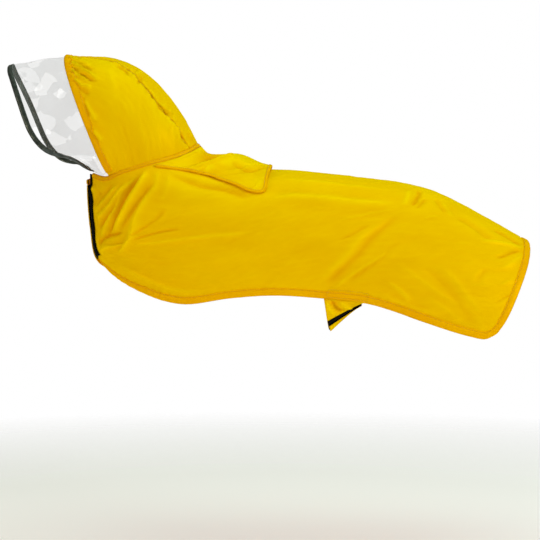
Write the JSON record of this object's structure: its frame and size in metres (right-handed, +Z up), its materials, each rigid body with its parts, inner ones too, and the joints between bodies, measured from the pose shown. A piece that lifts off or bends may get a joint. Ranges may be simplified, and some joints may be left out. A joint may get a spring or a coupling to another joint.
{
  "type": "dog raincoat",
  "caption": "Hooded dog raincoat with a clear peak, a lapped chest closure, a flap over the back and a belly strap, open inside as it stands when worn.",
  "frame": {"origin": "on the centre line of the back just behind the neck flap, where the wearer's back holds the coat", "axes": "+X towards the tail, -X towards the nose, +Y towards the coat's right side, +Z up"},
  "size_m": [0.7759, 0.2163, 0.4191],
  "materials": {
    "yellow_cloth": "glossy waterproof coated cloth",
    "yellow_trim": "the same coated cloth, doubled and sewn",
    "black_strip": "matte woven hook and loop strip",
    "grey_tape": "smooth reflective binding",
    "clear_sheet": "clear flexible sheet, glossy"
  },
  "bodies": {
    "root": {"body_panel": "yellow_cloth", "hem_tape": "yellow_trim", "neck_tape": "yellow_trim", "hood_side_left": "yellow_cloth", "hood_side_right": "yellow_cloth", "hood_gusset": "yellow_cloth", "hood_casing": "yellow_trim", "peak": "clear_sheet", "peak_tape": "grey_tape", "back_flap": "yellow_cloth", "flap_tape": "yellow_trim", "chest_loop_strip": "black_strip", "chest_hook_strip": "black_strip", "strap_left": "yellow_cloth", "strap_right": "yellow_cloth", "strap_loop_strip": "black_strip", "strap_hook_strip": "black_strip"}
  },
  "joints": []
}
